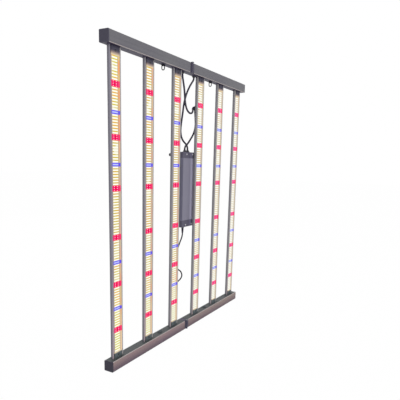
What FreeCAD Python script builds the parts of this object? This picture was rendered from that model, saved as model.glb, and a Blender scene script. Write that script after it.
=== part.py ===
import FreeCAD
import Part
import math
import os
from FreeCAD import Vector

# Foldable LED grow light: six light bars between two square rails, standing on its bottom rail.
# Millimetres. X runs along the rails, Z along the light bars, and the lit side faces -Y.
# The origin is the middle of the bottom rail, on the surface it stands on.

# ---- frame ----
frame_width = 1080.0
frame_height = 1172.0
rail_side = 40.0
rail_wall = 2.0
cut_overrun = 1.0
same_place = 0.01
rail_corner = 2.5
smallest_corner = 0.5
end_cap_plate = 4.0
end_cap_plug = 16.0
end_cap_round = 1.2
plug_clearance = 0.1
plug_wall = 2.5

# ---- fold joint ----
joint_centre = -13.0
joint_block = 15.0
joint_gap = 0.4
joint_plug = 22.0
fold_axis_ahead = 0.5
knuckle_radius = 4.5
knuckle_clearance = 0.3
joint_pin_radius = 2.0
pin_running_clearance = 0.05
pin_head_radius = 6.5
pin_head_height = 3.0
pin_head_round = 0.9

# ---- light bars ----
bars_per_half = 3
bar_pitch = 195.0
bar_width = 60.0
lip_plane = -2.5
lip_width = 6.0
lip_round = 1.2
groove_width = 0.7
groove_depth = 0.6
skirt_depth = 8.0
skirt_wall = 1.8
board_width = 33.4
board_front = 0.5
board_thickness = 1.6
board_clearance = 0.2
ledge_width = 0.8
web_thickness = 2.8
fin_pairs = 3
fin_pitch = 8.0
fin_thickness = 1.6
fin_reach = 14.5
web_haunch = 0.4
reflector_hollow = 0.08

# ---- light emitting boards ----
led_pitch = 9.13
boards_per_bar = 2
board_join = 0.4
lit_centre_drop = 3.0
shortest_bracket = 22.0

# ---- brackets that close the ends of each bar ----
bracket_width = 43.0
bracket_rise = 2.6
bracket_bevel = 1.56
bracket_to_board = 0.5
bracket_screw_radius = 1.9
bracket_screw_head = 3.3
bracket_screw_head_height = 1.8
screw_clearance = 0.15
screw_end_gap = 0.3

# ---- driver ----
driver_past_bar_centre = 6.5
driver_width = 118.0
driver_depth = 58.0
driver_bottom = 474.0
driver_height = 335.0
driver_strap = 2.5
top_cover_height = 26.0
bottom_cover_height = 31.0
case_wall = 2.6
case_corner = 3.0
side_groove_count = 4
side_groove_width = 3.0
side_groove_depth = 1.2
cover_spigot = 8.0
cover_roof = 4.0
cover_round = 1.5
plate_thickness = 1.5
plate_margin = 1.0
cover_screw_inset = 33.5
cover_screw_from_end = 9.5
cover_screw_radius = 2.9
cover_screw_height = 1.5
block_clearance = 0.3
block_set_back = 8.0

# ---- straps that hold the driver on its bar ----
strap_height = 22.0
strap_from_cover_end = 2.0
strap_on_driver = 28.5
strap_on_bar = 20.0
strap_driver_screw_inset = 22.5
strap_bar_screw_out = 9.5
strap_corner = 3.0
strap_screw_radius = 2.0
strap_screw_head = 2.8
strap_screw_head_height = 1.9
strap_screw_depth = 6.0

# ---- dimmer on the back of the driver ----
dimmer_inset = 11.0
bushing_radius = 6.0
bushing_length = 3.0
dimmer_shaft_radius = 3.0
dimmer_shaft_depth = 3.0
knob_radius = 7.5
knob_tip_radius = 6.6
knob_length = 15.5
knob_gap = 0.4
knob_skirt = 1.4
knob_flute_count = 12
knob_flute_radius = 0.9
knob_flat = 0.6
knob_bore_depth = 11.0
knob_skirt_step = 0.6
knob_tip_round = 1.0
knob_flute_start = 1.2
knob_fit = 0.02
shaft_end_gap = 0.3
shaft_flat_start = 2.0

# ---- cables ----
output_cable_radius = 4.0
power_cord_radius = 3.0
left_exit = Vector(-40.0, 11.0, 0.0)
right_exit = Vector(56.0, 12.0, 0.0)
grommet_radius = 8.2
grommet_flange = 2.2
grommet_cone = 3.8
grommet_step = 1.0
grommet_tip_radius = 5.1
grommet_hole = 6.2
grommet_fit = 0.1
fold_cable_gap = 0.3
left_gland = Vector(41.0, 42.0, 0.0)
right_gland = Vector(66.0, 42.0, 0.0)
power_gland = Vector(39.0, 44.0, 0.0)
gland_hex = 8.0
gland_hex_height = 4.0
gland_nut_radius = 7.0
gland_nut_height = 6.0
gland_tip_radius = 5.2
gland_stem_radius = 6.0
relief_length = 24.0
relief_tip_radius = 3.6
relief_ring_count = 4
relief_ring_proud = 0.6
relief_ring_width = 2.0

# ---- hook on the driver's bar that carries the left half's cable ----
hook_before_bar_centre = 18.5
hook_z = 997.0
hook_foot_width = 16.0
hook_foot_height = 30.0
hook_foot_thickness = 1.5
hook_foot_offset = 3.0
hook_foot_corner = 3.0
hook_peg_radius = 3.3
hook_peg_length = 9.6
hook_lip_radius = 8.0
hook_lip_thickness = 1.5
hook_rivet_radius = 1.8
hook_rivet_height = 0.9
hook_rivet_from_end = 4.0

# ---- hank of spare cord, its tie and its plug ----
hank_right = -94.0
hank_length = 164.0
hank_lobe = 44.0
hank_waist_y = 37.0
hank_waist_radius = 8.2
hank_gap = 0.4
hank_depth = 48.0
hank_rise = 31.0
hank_shoulder = 19.2
hank_waist_angles = (215, 325, 0, 45, 90, 145)
tie_width = 12.0
tie_wall = 1.2
tie_edge_gap = 0.2
tie_fit = 0.02
plug_length = 36.0
plug_width = 24.0
plug_height = 21.0
plug_sleeve = 24.0
plug_sleeve_flare = 3.0
plug_sleeve_wall = 0.4
plug_round = 5.9
plug_pin_radius = 2.4
plug_pin_length = 19.0
plug_pin_spacing = 14.0

# ---- hanging rings and their clips ----
ring_x = 195.0
ring_y = 4.0
ring_wire = 1.8
ring_width = 16.0
ring_length = 20.5
ring_pivot_drop = 3.5
ring_clip_width = 8.0
ring_clip_wall = 1.2
ring_clip_foot = 10.5
ring_clip_gap = 0.25
ring_rivet_radius = 1.6
ring_rivet_height = 0.9
ring_rivet_from_end = 3.4
ring_rest_gap = 0.3

# ---- routes of the cables, chosen by hand ----
left_cable_route = [
    (-40.0, 11.0), (-40.0, 11.0, 1115.0), (-29.0, 13.0, 1097.0), (-9.0, 18.0, 1062.0),
    (1.0, 21.5, 1024.0), (14.0, 20.5, 990.0), (38.0, 18.5, 975.0), (60.0, 19.0, 979.0),
    (70.0, 20.5, 990.0), (71.0, 21.0, 1005.5), (87.0, 21.0, 1005.5), (90.0, 21.5, 987.0),
    (97.5, 23.0, 960.0), (105.0, 25.5, 926.0), (97.0, 29.0, 894.0), (77.0, 33.0, 868.0),
    (57.0, 36.5, 846.0), (41.0, 42.0, 833.0), (41.0, 42.0),
]
right_cable_route = [
    (56.0, 12.0), (56.0, 12.0, 1117.5), (46.0, 15.0, 1105.0), (33.0, 20.0, 1085.0),
    (17.0, 26.0, 1051.0), (6.0, 29.5, 1014.0), (2.0, 32.0, 973.0), (-5.0, 34.0, 933.0),
    (-8.0, 37.0, 893.0), (17.0, 46.0, 868.0), (46.0, 52.5, 855.0), (66.0, 42.0, 838.0),
    (66.0, 42.0),
]
power_cord_route = [
    (39.0, 44.0), (39.0, 44.0, 426.0), (18.0, 43.5, 401.0), (-5.0, 43.0, 369.0),
    (-25.0, 42.0, 337.0), (-32.0, 39.0, 308.0), (-23.0, 32.0, 282.0), (-4.0, 22.0, 268.0),
    (2.0, 18.0, 246.0), (-9.0, 24.0, 227.0), (-27.0, 34.0, 217.0), (-43.0, 41.0, 201.0),
    (-50.0, 38.0, 170.0), (-54.0, 35.0, 133.0), (-49.0, 33.0, 94.0), (-47.0, 30.0, 54.5),
    (-57.0, 28.0, 37.0), (-74.5, 25.5, 27.0), (-94.0, 25.5, 27.0),
]
plug_lead_route = [
    (-258.0, 24.0, 3.5), (-276.0, 24.0, 3.5), (-300.0, 26.5, 3.5), (-325.0, 31.5, 4.5),
    (-349.0, 33.0, 9.0), (-367.0, 33.0, 10.5), (-384.0, 33.0, 10.5),
]

# ---- worked out from the values above ----
half_side = rail_side / 2
half_width = frame_width / 2
tube_inside = rail_side - 2 * rail_wall
inner_corner = max(rail_corner - rail_wall, smallest_corner)
tube_from_joint = joint_block + joint_gap / 2
tube_end = half_width - end_cap_plate
bottom_rail_z = 0.0
top_rail_z = frame_height - rail_side
fold_axis_y = -half_side - fold_axis_ahead
bar_bottom = rail_side
bar_top = top_rail_z
board_back = board_front + board_thickness
web_back = board_back + web_thickness
lit_centre = frame_height / 2 - lit_centre_drop
rows_per_board = int((bar_top - bar_bottom - 2 * shortest_bracket) / (boards_per_bar * led_pitch))
board_length = rows_per_board * led_pitch - board_join
driver_front = fin_reach + driver_strap
driver_back = driver_front + driver_depth
driver_right = bar_pitch / 2 + driver_past_bar_centre
driver_left = driver_right - driver_width
driver_top = driver_bottom + driver_height
strap_driver_screw_x = driver_right - strap_driver_screw_inset
strap_bar_screw_x = driver_right + strap_bar_screw_out
case_bottom = driver_bottom + bottom_cover_height
case_top = driver_top - top_cover_height
grommet_tip = top_rail_z - grommet_flange - grommet_cone
gland_length = gland_hex_height + gland_nut_height
hook_x = bar_pitch / 2 - hook_before_bar_centre
hank_left = hank_right - hank_length
ring_spine = ring_width / 2 - ring_wire
HALVES = (("left", -1), ("right", 1))
RAILS = (("top", top_rail_z), ("bottom", bottom_rail_z))

nodes = {}


def add(name, *solids):
    """Keep the solids of one node, joined in one compound where there are several."""
    shape = solids[0] if len(solids) == 1 else Part.makeCompound(list(solids))
    nodes[name] = shape
    return shape


def box(x0, x1, y0, y1, z0, z1):
    low = Vector(min(x0, x1), min(y0, y1), min(z0, z1))
    return Part.makeBox(abs(x1 - x0), abs(y1 - y0), abs(z1 - z0), low)


def cylinder(radius, start, direction, length):
    return Part.makeCylinder(radius, length, Vector(*start), Vector(*direction))


def cone(radius, tip_radius, start, direction, length):
    return Part.makeCone(radius, tip_radius, length, Vector(*start), Vector(*direction))


def mirror_x(shape):
    return shape.mirror(Vector(0, 0, 0), Vector(1, 0, 0))


def section_yz(side_y, side_z, corner, centre_y, centre_z, x):
    """A rounded rectangle in the plane across X."""
    half_y, half_z = side_y / 2, side_z / 2
    corners = []
    for sign_y, sign_z in ((1, 1), (-1, 1), (-1, -1), (1, -1)):
        corners.append(Vector(x, centre_y + sign_y * half_y, centre_z + sign_z * half_z))
    return rounded_loop(corners, corner)


def section_xy(x0, x1, y0, y1, corner, z):
    """A rounded rectangle in the plane across Z."""
    corners = [Vector(x1, y1, z), Vector(x0, y1, z), Vector(x0, y0, z), Vector(x1, y0, z)]
    return rounded_loop(corners, corner)


def rounded_loop(corners, radius):
    """A closed face through the corners, each rounded by an arc."""
    edges = []
    starts, ends, middles = [], [], []
    count = len(corners)
    for index, corner in enumerate(corners):
        to_last = (corners[index - 1] - corner).normalize()
        to_next = (corners[(index + 1) % count] - corner).normalize()
        starts.append(corner + to_last * radius)
        ends.append(corner + to_next * radius)
        inward = (to_last + to_next).normalize()
        middles.append(corner + inward * radius * (math.sqrt(2) - 1))
    for index in range(count):
        edges.append(Part.Arc(starts[index], middles[index], ends[index]).toShape())
        edges.append(Part.LineSegment(ends[index], starts[(index + 1) % count]).toShape())
    return Part.Face(Part.Wire(edges))


def square_bar(x0, x1, side, corner, z0):
    """A solid bar along X, centred on the rail that starts at height z0."""
    face = section_yz(side, side, corner, 0.0, z0 + half_side, x0)
    return face.extrude(Vector(x1 - x0, 0, 0))


def hollow_plug(x0, x1, z0):
    """A square plug that slides into a rail's end, open inside."""
    side = tube_inside - 2 * plug_clearance
    outer = square_bar(x0, x1, side, inner_corner, z0)
    return outer.cut(square_bar(x0, x1, side - 2 * plug_wall, smallest_corner, z0))


# ---- rails ----
def bar_centres(sign):
    return [sign * bar_pitch * (index + 0.5) for index in range(bars_per_half)]


def exit_hole(sign, z0):
    """The hole through the underside of a rail where a cable leaves it."""
    place = left_exit if sign < 0 else right_exit
    depth = rail_wall + plug_clearance + plug_wall + 2 * cut_overrun
    return cylinder(grommet_hole, (place.x, place.y, z0 - cut_overrun), (0, 0, 1), depth)


def rail_tube(sign, level, z0):
    start = joint_centre + sign * tube_from_joint
    outer = square_bar(start, sign * tube_end, rail_side, rail_corner, z0)
    tube = outer.cut(square_bar(start, sign * tube_end, tube_inside, inner_corner, z0))
    return tube.cut(exit_hole(sign, z0)) if level == "top" else tube


def end_cap(sign, z0):
    plate = square_bar(tube_end, half_width, rail_side, rail_corner, z0)
    outer_edges = [edge for edge in plate.Edges if abs(edge.BoundBox.XMin - half_width) < same_place]
    outer_edges = [edge for edge in outer_edges if edge.BoundBox.XLength < same_place]
    plate = plate.makeFillet(min(end_cap_round, end_cap_plate / 3), outer_edges)
    cap = plate.fuse(hollow_plug(tube_end - end_cap_plug, tube_end, z0)).removeSplitter()
    return cap if sign > 0 else mirror_x(cap)


# ---- fold joint: two blocks with meshing knuckles on one pin ----
def knuckle_spans(z0):
    third = rail_side / 3
    half_gap = knuckle_clearance / 2
    low = (z0, z0 + third - half_gap)
    middle = (z0 + third + half_gap, z0 + 2 * third - half_gap)
    high = (z0 + 2 * third + half_gap, z0 + rail_side)
    return low, middle, high


def barrel(radius, z_low, z_high):
    return cylinder(radius, (joint_centre, fold_axis_y, z_low), (0, 0, 1), z_high - z_low)


def joint_leaf(sign, level, z0):
    low, middle, high = knuckle_spans(z0)
    own = (low, high) if sign < 0 else (middle,)
    others = (middle,) if sign < 0 else (low, high)
    parting = joint_centre + sign * joint_gap / 2
    block_end = joint_centre + sign * tube_from_joint
    plug = hollow_plug(block_end, block_end + sign * joint_plug, z0)
    if level == "top":
        plug = plug.cut(exit_hole(sign, z0))
    leaf = square_bar(parting, block_end, rail_side, rail_corner, z0).fuse(plug)
    room_radius = knuckle_radius + knuckle_clearance
    for z_low, z_high in others:
        leaf = leaf.cut(barrel(room_radius, z_low - knuckle_clearance, z_high + knuckle_clearance))
    for z_low, z_high in own:
        leaf = leaf.fuse(barrel(knuckle_radius, z_low, z_high))
    bore = joint_pin_radius + (pin_running_clearance if sign < 0 else 0.0)
    leaf = leaf.cut(barrel(bore, z0 - cut_overrun, z0 + rail_side + cut_overrun))
    return leaf.removeSplitter()


def joint_pin(z0):
    shank = barrel(joint_pin_radius, z0, z0 + rail_side)
    head_low = z0 + rail_side + pin_running_clearance
    head = barrel(pin_head_radius, head_low, head_low + pin_head_height)
    neck = barrel(joint_pin_radius, z0 + rail_side, head_low)
    head_top = head_low + pin_head_height
    head_edges = [edge for edge in head.Edges if abs(edge.BoundBox.ZMin - head_top) < same_place]
    return shank.fuse(neck).fuse(head.makeFillet(pin_head_round, head_edges[:1])).removeSplitter()


# ---- light bars ----
def run_of_lines(*points):
    corners = [Vector(x, y, 0) for x, y in points]
    return [Part.LineSegment(a, b).toShape() for a, b in zip(corners, corners[1:])]


def arc_through(*points):
    return Part.Arc(*[Vector(x, y, 0) for x, y in points]).toShape()


def half_profile():
    """Half of the aluminium section, from the middle of the channel round to the middle of the back."""
    half = bar_width / 2
    channel = board_width / 2 + board_clearance
    slope_start = (channel + ledge_width, board_front)
    slope_end = (half - lip_width - groove_width, lip_plane + groove_depth)
    slope = math.dist(slope_start, slope_end)
    hollow = reflector_hollow * slope
    slope_middle = ((slope_start[0] + slope_end[0]) / 2 + hollow * (slope_start[1] - slope_end[1]) / slope,
                    (slope_start[1] + slope_end[1]) / 2 + hollow * (slope_end[0] - slope_start[0]) / slope)
    round_middle = lip_round * (1 - math.sqrt(0.5))
    skirt_back = lip_plane + skirt_depth
    web_edge = (fin_pairs - 0.5) * fin_pitch + fin_thickness / 2
    edges = run_of_lines((0, board_back), (channel, board_back), (channel, board_front), slope_start)
    edges.append(arc_through(slope_start, slope_middle, slope_end))
    edges += run_of_lines(slope_end, (half - lip_width, slope_end[1]), (half - lip_width, lip_plane),
                          (half - lip_round, lip_plane))
    edges.append(arc_through((half - lip_round, lip_plane), (half - round_middle, lip_plane + round_middle),
                             (half, lip_plane + lip_round)))
    back = [(half, lip_plane + lip_round), (half, skirt_back), (half - skirt_wall, skirt_back),
            (half - skirt_wall, board_front), (web_edge + 2 * fin_thickness, board_back + web_haunch)]
    for index in reversed(range(fin_pairs)):
        outer = (index + 0.5) * fin_pitch + fin_thickness / 2
        inner = outer - fin_thickness
        back += [(outer, web_back), (outer, fin_reach), (inner, fin_reach), (inner, web_back)]
    return edges + run_of_lines(*back, (0, web_back))


def light_bar(centre):
    right = half_profile()
    left = [mirror_x(edge) for edge in right]
    outline = Part.Wire(Part.__sortEdges__(right + left))
    bar = Part.Face(outline).extrude(Vector(0, 0, bar_top - bar_bottom))
    bar.translate(Vector(centre, 0, bar_bottom))
    return bar


def bracket_screw_heights():
    low = (bar_bottom + board_low()) / 2
    high = (bar_top + board_high()) / 2
    return {"bottom": low, "top": high}


def board_low():
    return lit_centre - board_length - board_join / 2


def board_high():
    return lit_centre + board_length + board_join / 2


def bar_with_holes(centre, driver_bar):
    bar = light_bar(centre)
    for height in bracket_screw_heights().values():
        hole = bracket_screw_radius + screw_clearance
        bar = bar.cut(cylinder(hole, (centre, board_front, height), (0, 1, 0), web_back))
    if driver_bar:
        for height in strap_heights():
            hole = strap_screw_radius + screw_clearance
            start = (strap_bar_screw_x, board_back - cut_overrun, height)
            bar = bar.cut(cylinder(hole, start, (0, 1, 0), web_thickness + 2 * cut_overrun))
    return bar


def led_boards(centre):
    boards = []
    for index in range(boards_per_bar):
        low = board_low() + index * (board_length + board_join)
        boards.append(box(centre - board_width / 2, centre + board_width / 2,
                          board_front, board_back, low, low + board_length))
    return boards


# ---- brackets at the ends of the bars ----
def end_bracket(centre, level):
    near_board = bracket_to_board
    if level == "top":
        z_low, z_high = board_high() + near_board, bar_top
    else:
        z_low, z_high = bar_bottom, board_low() - near_board
    height = bracket_screw_heights()[level]
    channel = board_width / 2
    foot = box(centre - channel, centre + channel, lip_plane, board_back, z_low, z_high)
    head_front = lip_plane - bracket_rise
    head = box(centre - bracket_width / 2, centre + bracket_width / 2, head_front, lip_plane, z_low, z_high)
    front_edges = [edge for edge in head.Edges
                   if edge.BoundBox.YMax < head_front + same_place and edge.BoundBox.ZLength > 1]
    head = head.makeChamfer(bracket_bevel, front_edges)
    body = head.fuse(foot).removeSplitter()
    hole = bracket_screw_radius + screw_clearance
    depth = board_back - head_front
    start = (centre, head_front - cut_overrun, height)
    return body.cut(cylinder(hole, start, (0, 1, 0), depth + 2 * cut_overrun))


def bracket_screw(centre, level):
    height = bracket_screw_heights()[level]
    seat = lip_plane - bracket_rise
    shank = cylinder(bracket_screw_radius, (centre, seat, height), (0, 1, 0),
                     web_back - screw_end_gap - seat)
    head = cylinder(bracket_screw_head, (centre, seat - bracket_screw_head_height, height), (0, 1, 0),
                    bracket_screw_head_height)
    head_end = seat - bracket_screw_head_height
    rim = [edge for edge in head.Edges if edge.BoundBox.YMax < head_end + same_place]
    head = head.makeChamfer(bracket_screw_head_height / 2, rim[:1])
    return head.fuse(shank).removeSplitter()


# ---- driver ----
def case_section(inset, z):
    return section_xy(driver_left + inset, driver_right - inset, driver_front + inset,
                      driver_back - inset, max(case_corner - inset, 0.5), z)


def driver_case():
    height = case_top - case_bottom
    outer = case_section(0.0, case_bottom).extrude(Vector(0, 0, height))
    case = outer.cut(case_section(case_wall, case_bottom).extrude(Vector(0, 0, height)))
    spacing = driver_depth / (side_groove_count + 1)
    for index in range(side_groove_count):
        middle = driver_front + spacing * (index + 1)
        low, high = middle - side_groove_width / 2, middle + side_groove_width / 2
        for edge_x in (driver_left, driver_right):
            groove = box(edge_x - side_groove_depth, edge_x + side_groove_depth, low, high,
                         case_bottom - cut_overrun, case_top + cut_overrun)
            case = case.cut(groove)
    return case


def driver_cover(z_end, z_joint):
    """A cast cover that closes one end of the case, with a spigot inside it."""
    way = 1 if z_joint > z_end else -1
    height = abs(z_joint - z_end)
    inset = case_wall + plug_clearance
    low = min(z_end, z_joint)
    shell = case_section(0.0, low).extrude(Vector(0, 0, height))
    end_edges = [edge for edge in shell.Edges
                 if edge.BoundBox.ZLength < same_place and abs(edge.BoundBox.ZMin - z_end) < same_place]
    shell = shell.makeFillet(min(cover_round, case_corner / 2), end_edges)
    spigot_low = min(z_joint, z_joint + way * cover_spigot)
    shell = shell.fuse(case_section(inset, spigot_low).extrude(Vector(0, 0, cover_spigot)))
    hollow_start = z_end + way * cover_roof
    hollow_end = z_joint + way * cover_spigot
    hollow = case_section(inset + case_wall, min(hollow_start, hollow_end))
    return shell.cut(hollow.extrude(Vector(0, 0, abs(hollow_end - hollow_start)))).removeSplitter()


def top_cover():
    cover = driver_cover(driver_top, case_top)
    for place in (left_gland, right_gland):
        start = (place.x, place.y, driver_top - cover_roof - cut_overrun)
        cover = cover.cut(cylinder(gland_stem_radius, start, (0, 0, 1), cover_roof + 2 * cut_overrun))
    x, z = dimmer_place()
    depth = 2 * case_wall + plug_clearance
    start = (x, driver_back - depth - cut_overrun, z)
    bore = dimmer_shaft_radius + pin_running_clearance
    cover = cover.cut(cylinder(bore, start, (0, 1, 0), depth + 2 * cut_overrun))
    return strap_holes(cover, strap_heights()[1])


def bottom_cover():
    cover = driver_cover(driver_bottom, case_bottom)
    start = (power_gland.x, power_gland.y, driver_bottom - cut_overrun)
    cover = cover.cut(cylinder(gland_stem_radius, start, (0, 0, 1), cover_roof + 2 * cut_overrun))
    return strap_holes(cover, strap_heights()[0])


def strap_holes(cover, height):
    start = (strap_driver_screw_x, driver_front - cut_overrun, height)
    hole = cylinder(strap_screw_radius + screw_clearance, start, (0, 1, 0), strap_screw_depth + cut_overrun)
    return cover.cut(hole)


def front_plate():
    return box(driver_left + case_corner - plate_margin, driver_right - case_corner + plate_margin,
               driver_front - plate_thickness, driver_front,
               case_bottom + plate_margin, case_top - plate_margin)


def cover_screws():
    screws = []
    for x in (driver_left + cover_screw_inset, driver_right - cover_screw_inset):
        for z in (driver_bottom + cover_screw_from_end, driver_top - cover_screw_from_end):
            face = driver_front
            head_end = face - cover_screw_height
            head = cylinder(cover_screw_radius, (x, head_end, z), (0, 1, 0), cover_screw_height)
            rim = [edge for edge in head.Edges if edge.BoundBox.YMax < head_end + same_place]
            screws.append(head.makeChamfer(cover_screw_height / 2, rim[:1]))
    return screws


def circuit_block():
    inset = 2 * case_wall + plug_clearance + block_clearance
    low = case_bottom + cover_spigot + block_clearance
    high = case_top - cover_spigot - block_clearance
    inside = case_wall + block_clearance
    floor = driver_back - case_wall
    return box(driver_left + inside + inset, driver_right - inside - inset,
               driver_front + inset + block_set_back, floor, low, high)


# ---- straps ----
def strap_heights():
    offset = strap_from_cover_end + strap_height / 2
    return driver_bottom + offset, driver_top - offset


def driver_strap_plate(height):
    plate = box(driver_right - strap_on_driver, driver_right + strap_on_bar, fin_reach, driver_front,
                height - strap_height / 2, height + strap_height / 2)
    corner_edges = [edge for edge in plate.Edges if edge.BoundBox.YLength > driver_strap - same_place]
    plate = plate.makeFillet(strap_corner, corner_edges)
    for x in (strap_driver_screw_x, strap_bar_screw_x):
        start = (x, fin_reach - cut_overrun, height)
        radius = strap_screw_radius + screw_clearance
        plate = plate.cut(cylinder(radius, start, (0, 1, 0), driver_strap + 2 * cut_overrun))
    return plate


def strap_screw(x, height, seat, way, depth):
    shank = cylinder(strap_screw_radius, (x, seat, height), (0, way, 0), depth)
    head = cylinder(strap_screw_head, (x, seat, height), (0, -way, 0), strap_screw_head_height)
    return head.fuse(shank).removeSplitter()


# ---- dimmer ----
def dimmer_place():
    return driver_left + dimmer_inset, driver_top - top_cover_height / 2


def dimmer_bushing():
    x, z = dimmer_place()
    ring = cylinder(bushing_radius, (x, driver_back, z), (0, 1, 0), bushing_length)
    return ring.cut(cylinder(dimmer_shaft_radius + pin_running_clearance, (x, driver_back, z), (0, 1, 0),
                             bushing_length))


def shaft_flat(x, y0, length, z, radius):
    """Cuts the flat that keys the knob on the shaft."""
    return box(x - radius, x + radius, y0, y0 + length, z + radius - knob_flat, z + radius + cut_overrun)


def dimmer_shaft():
    x, z = dimmer_place()
    start = driver_back - dimmer_shaft_depth
    knob_start = driver_back + bushing_length + knob_gap
    length = knob_start + knob_bore_depth - shaft_end_gap - start
    shaft = cylinder(dimmer_shaft_radius, (x, start, z), (0, 1, 0), length)
    flat_start = knob_start + shaft_flat_start
    return shaft.cut(shaft_flat(x, flat_start, knob_bore_depth, z, dimmer_shaft_radius))


def dimmer_knob():
    x, z = dimmer_place()
    start = driver_back + bushing_length + knob_gap
    skirt = cylinder(knob_radius, (x, start, z), (0, 1, 0), knob_skirt)
    body = cone(knob_radius - knob_skirt_step, knob_tip_radius, (x, start + knob_skirt, z), (0, 1, 0),
                knob_length - knob_skirt)
    rim = [edge for edge in body.Edges if edge.BoundBox.YMin > start + knob_length - same_place]
    body = body.makeFillet(knob_tip_round, rim[:1])
    knob = skirt.fuse(body)
    for index in range(knob_flute_count):
        angle = 2 * math.pi * index / knob_flute_count
        flute_start = (x + knob_radius * math.cos(angle), start + knob_skirt + knob_flute_start,
                       z + knob_radius * math.sin(angle))
        knob = knob.cut(cylinder(knob_flute_radius, flute_start, (0, 1, 0), knob_length))
    bore_radius = dimmer_shaft_radius + knob_fit
    bore = cylinder(bore_radius, (x, start, z), (0, 1, 0), knob_bore_depth)
    bore = bore.cut(shaft_flat(x, start + shaft_flat_start, knob_bore_depth, z, bore_radius))
    return knob.cut(bore).removeSplitter()


# ---- grommets and glands ----
def grommet(place):
    stem = cylinder(grommet_hole - grommet_fit, (place.x, place.y, top_rail_z), (0, 0, 1), rail_wall)
    flange = cylinder(grommet_radius, (place.x, place.y, top_rail_z), (0, 0, -1), grommet_flange)
    flange_end = (place.x, place.y, top_rail_z - grommet_flange)
    tip = cone(grommet_radius - grommet_step, grommet_tip_radius, flange_end, (0, 0, -1), grommet_cone)
    return stem.fuse([flange, tip]).removeSplitter()


def hexagon_prism(across, centre, way, height):
    radius = across / math.cos(math.pi / 6)
    points = []
    for index in range(6):
        angle = math.pi / 3 * index
        points.append(centre + Vector(radius * math.cos(angle), radius * math.sin(angle), 0))
    face = Part.Face(Part.makePolygon(points + points[:1]))
    return face.extrude(Vector(0, 0, way * height))


def cable_gland(place, z, way):
    base = hexagon_prism(gland_hex, Vector(place.x, place.y, z), way, gland_hex_height)
    nut = cone(gland_nut_radius, gland_tip_radius, (place.x, place.y, z + way * gland_hex_height),
               (0, 0, way), gland_nut_height)
    stem = cylinder(gland_stem_radius - grommet_fit, (place.x, place.y, z), (0, 0, -way), cover_roof)
    return base.fuse([nut, stem]).removeSplitter()


def strain_relief():
    x, y = power_gland.x, power_gland.y
    start = driver_bottom - gland_length
    sleeve = cone(gland_tip_radius, relief_tip_radius, (x, y, start), (0, 0, -1), relief_length)
    rings = []
    spacing = relief_length / (relief_ring_count + 1)
    for index in range(relief_ring_count):
        down = spacing * (index + 1) - relief_ring_width / 2
        radius = gland_tip_radius + (relief_tip_radius - gland_tip_radius) * down / relief_length
        radius += relief_ring_proud
        rings.append(cylinder(radius, (x, y, start - down), (0, 0, -1), relief_ring_width))
    return sleeve.fuse(rings).removeSplitter()


# ---- cables: straight runs joined by tangent arcs ----
def cord_path(points, label):
    """One wire through the points, each corner rounded as widely as its two runs allow."""
    points = [Vector(*point) for point in points]
    edges = []
    radii = []
    last = points[0]
    for before, corner, after in zip(points, points[1:], points[2:]):
        into, out = corner - before, after - corner
        turn = into.getAngle(out)
        tangent = 0.45 * min(into.Length, out.Length)
        radii.append(tangent / math.tan(turn / 2))
        start = corner - into.normalize() * tangent
        end = corner + out.normalize() * tangent
        to_middle = (start + end) * 0.5 - corner
        sagitta = radii[-1] / math.cos(turn / 2) - radii[-1]
        middle = corner + to_middle.normalize() * sagitta
        edges.append(Part.LineSegment(last, start).toShape())
        edges.append(Part.Arc(start, middle, end).toShape())
        last = end
    edges.append(Part.LineSegment(last, points[-1]).toShape())
    print(label, "radii", [round(radius) for radius in radii])
    return Part.Wire(edges)


def cord_tube(points, radius, label):
    path = cord_path(points, label)
    first = path.Edges[0]
    direction = first.tangentAt(first.FirstParameter)
    circle = Part.Wire(Part.makeCircle(radius, Vector(*points[0]), direction))
    tube = path.makePipeShell([circle], True, False)
    ideal = math.pi * radius ** 2 * path.Length
    print(label, "length", round(path.Length), "volume ratio", round(tube.Volume / ideal, 4))
    return tube


def route(points, first_z=None, last_z=None):
    points = list(points)
    if first_z is not None:
        points[0] = (*points[0], first_z)
    if last_z is not None:
        points[-1] = (*points[-1], last_z)
    return points


def cable_hook():
    """A round peg with a lip, on a foot that is riveted to the bar's fins."""
    left = hook_x - hook_foot_width / 2 + hook_foot_offset
    low = hook_z - hook_foot_height / 2
    foot_back = fin_reach + hook_foot_thickness
    foot = box(left, left + hook_foot_width, fin_reach, foot_back, low, low + hook_foot_height)
    corners = [edge for edge in foot.Edges if edge.BoundBox.YLength > hook_foot_thickness - same_place]
    foot = foot.makeFillet(hook_foot_corner, corners)
    peg = cylinder(hook_peg_radius, (hook_x, foot_back, hook_z), (0, 1, 0), hook_peg_length)
    lip = cylinder(hook_lip_radius, (hook_x, foot_back + hook_peg_length, hook_z), (0, 1, 0),
                   hook_lip_thickness)
    rivets = []
    for z in (low + hook_rivet_from_end, low + hook_foot_height - hook_rivet_from_end):
        rivets.append(cylinder(hook_rivet_radius, (left + hook_foot_width / 2, foot_back, z), (0, 1, 0),
                               hook_rivet_height))
    return foot.fuse([peg, lip] + rivets).removeSplitter()


# ---- the cord that is put away, its tie and its plug ----
def hank_outline(x, share):
    """The bundle's outline across X: round at the tie (share 0) and fanned out at the loops (share 1)."""
    near = half_side + hank_gap
    far = near + hank_depth
    low, high = 0.0, hank_rise
    thick = 2 * power_cord_radius
    fanned = [(near, low), (far, low), (far, thick), (near + hank_depth / 2, hank_shoulder),
              (near + thick, high), (near, high)]
    centre_y, centre_z = hank_waist_y, hank_waist_radius + tie_wall
    points = []
    for (y, z), degrees in zip(fanned, hank_waist_angles):
        angle = math.radians(degrees)
        round_y = centre_y + hank_waist_radius * math.cos(angle)
        round_z = centre_z + hank_waist_radius * math.sin(angle)
        points.append(Vector(x, round_y + (y - round_y) * share, round_z + (z - round_z) * share))
    return Part.makePolygon(points + points[:1])


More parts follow.
